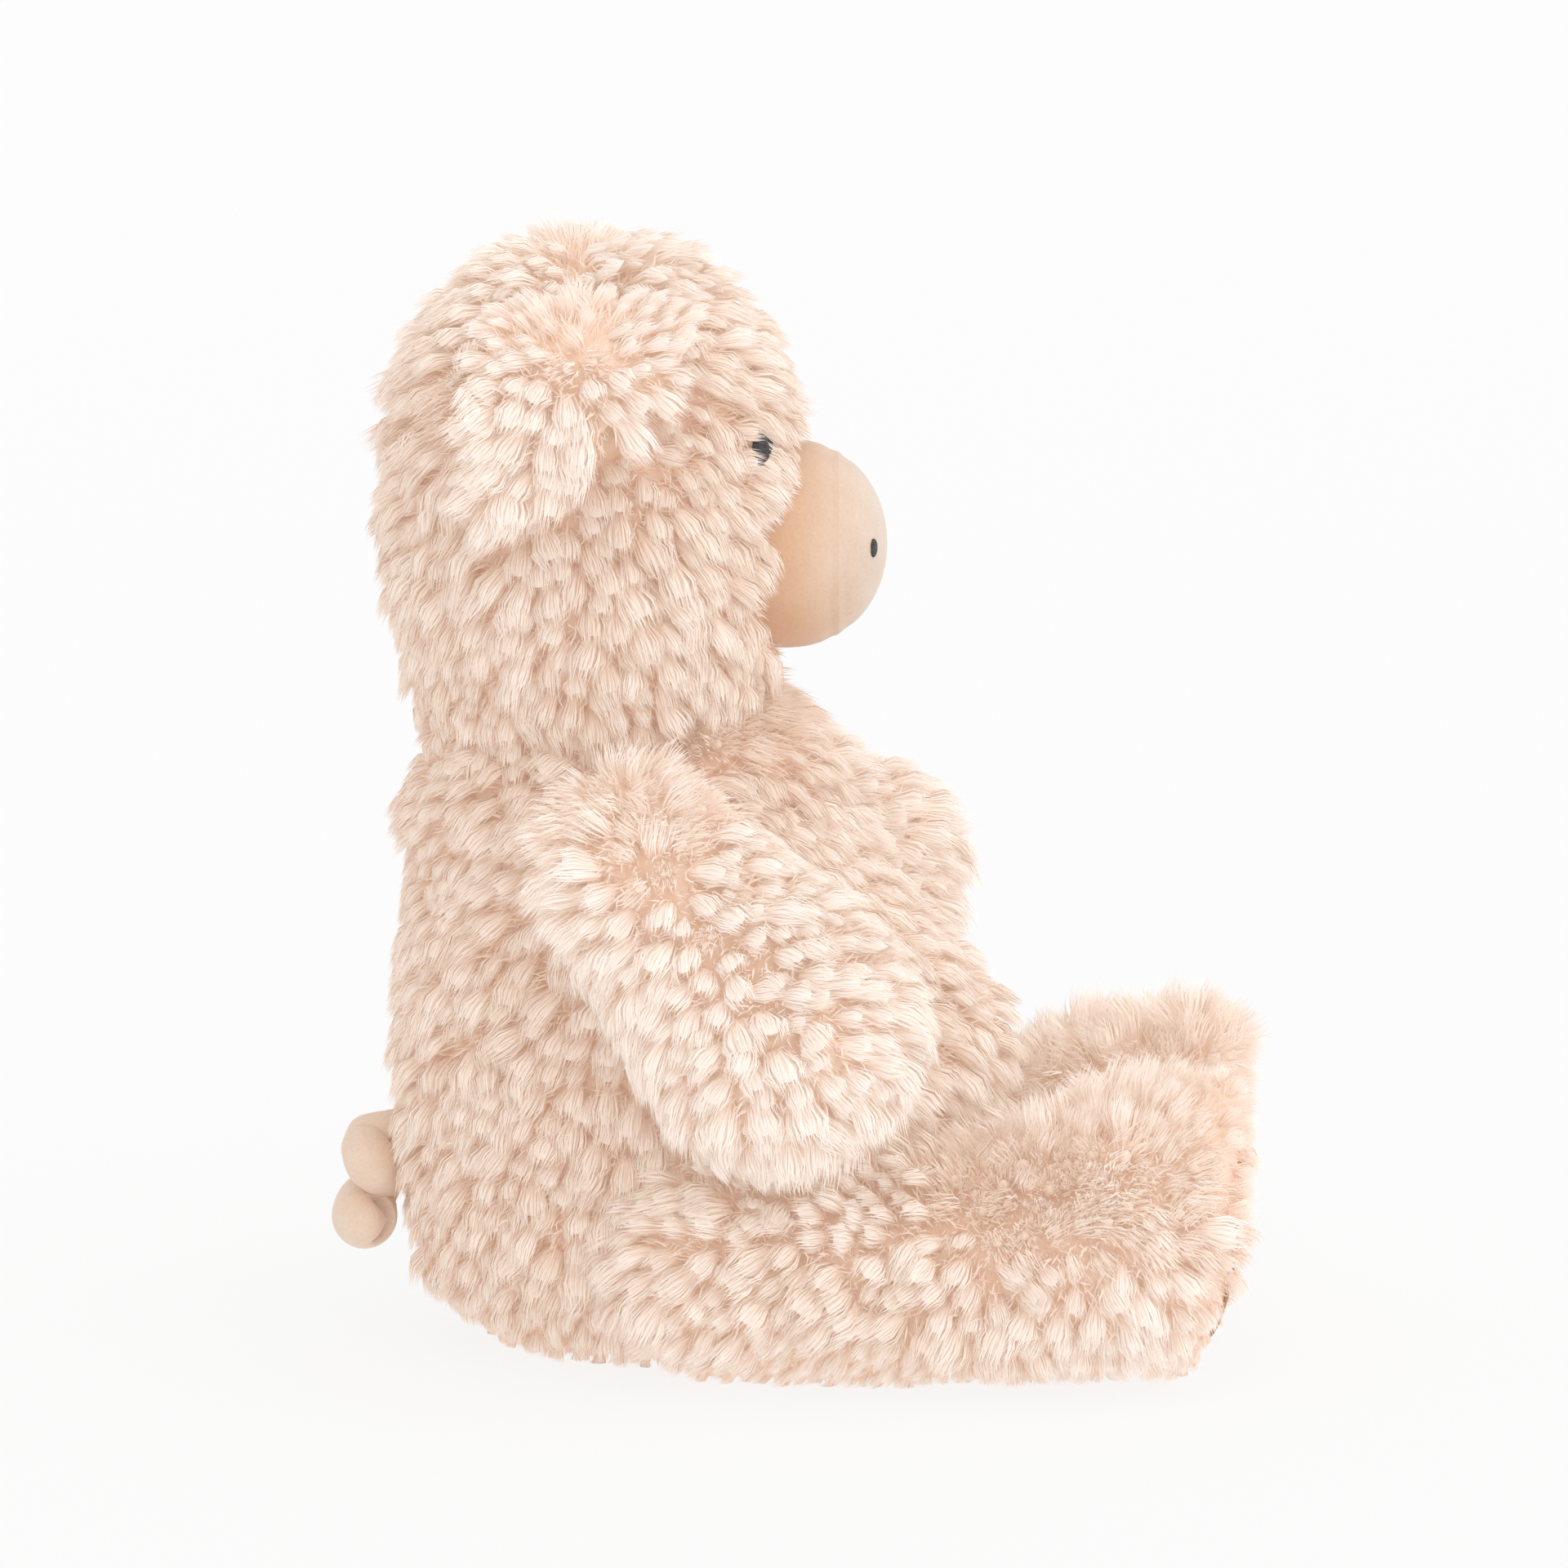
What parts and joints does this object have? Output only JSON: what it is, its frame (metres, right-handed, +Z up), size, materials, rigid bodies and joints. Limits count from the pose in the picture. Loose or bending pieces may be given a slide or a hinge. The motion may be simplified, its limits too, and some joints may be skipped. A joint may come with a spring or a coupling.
{
  "type": "plush pig",
  "caption": "Seated soft toy pig in cream tufted plush with floppy ears, a peach velour snout, stitched eyes, soft soles and a curled tail.",
  "frame": {"origin": "on the floor under the middle of the toy's bounding box", "axes": "+Z up, the toy faces -Y, its own left side is +X"},
  "size_m": [0.1616, 0.1924, 0.232],
  "materials": {
    "plush": "tufted pile plush",
    "velour": "short pile velour",
    "thread": "satin stitch thread",
    "fibre": "loose polyester filling",
    "pouch": "woven pouch of pellets"
  },
  "bodies": {
    "torso": {"body_cover": "plush", "body_filling": "fibre", "pellet_bag": "pouch"},
    "head": {"head_cover": "plush", "head_filling": "fibre", "snout_side": "velour", "snout_front": "velour", "snout_filling": "fibre", "eye_left": "thread", "eye_right": "thread", "nostril_left": "thread", "nostril_right": "thread"},
    "ear_left_flap": {"ear_left": "plush", "ear_lining_left": "velour"},
    "ear_right_flap": {"ear_right": "plush", "ear_lining_right": "velour"},
    "arm_left": {"arm_cover_left": "plush", "arm_filling_left": "fibre"},
    "arm_right": {"arm_cover_right": "plush", "arm_filling_right": "fibre"},
    "leg_left": {"leg_cover_left": "plush", "leg_filling_left": "fibre", "sole_left": "velour"},
    "leg_right": {"leg_cover_right": "plush", "leg_filling_right": "fibre", "sole_right": "velour"},
    "tail_curl": {"tail": "velour"}
  },
  "joints": [
    {"name": "head_turn", "type": "hinge", "parent": "torso", "child": "head", "pos_m": [0, 0.036, 0.105], "axis": [0, 0, 1], "range_deg": [-25, 25]},
    {"name": "ear_left_flap", "type": "hinge", "parent": "head", "child": "ear_left_flap", "pos_m": [0.03474, 0.042, 0.21791], "axis": [0, -1, 0], "range_deg": [0, 35]},
    {"name": "ear_right_flap", "type": "hinge", "parent": "head", "child": "ear_right_flap", "pos_m": [-0.03474, 0.042, 0.21791], "axis": [0, 1, 0], "range_deg": [0, 35]},
    {"name": "arm_left_swing", "type": "hinge", "parent": "torso", "child": "arm_left", "pos_m": [0.043, 0.037, 0.113], "axis": [-0.9877, 0, -0.1564], "range_deg": [-10, 30]},
    {"name": "arm_right_swing", "type": "hinge", "parent": "torso", "child": "arm_right", "pos_m": [-0.043, 0.037, 0.113], "axis": [-0.9877, 0, 0.1564], "range_deg": [0, 40]},
    {"name": "leg_left_splay", "type": "hinge", "parent": "torso", "child": "leg_left", "pos_m": [0.042, 0.014, 0.0245], "axis": [0, 0, 1], "range_deg": [-3, 25]},
    {"name": "leg_right_splay", "type": "hinge", "parent": "torso", "child": "leg_right", "pos_m": [-0.042, 0.014, 0.0245], "axis": [0, 0, -1], "range_deg": [-3, 25]},
    {"name": "tail_wag", "type": "hinge", "parent": "torso", "child": "tail_curl", "pos_m": [0, 0.08044, 0.0445], "axis": [0, 0, 1], "range_deg": [-15, 15], "stiffness_Nm_per_rad": 0.002}
  ]
}
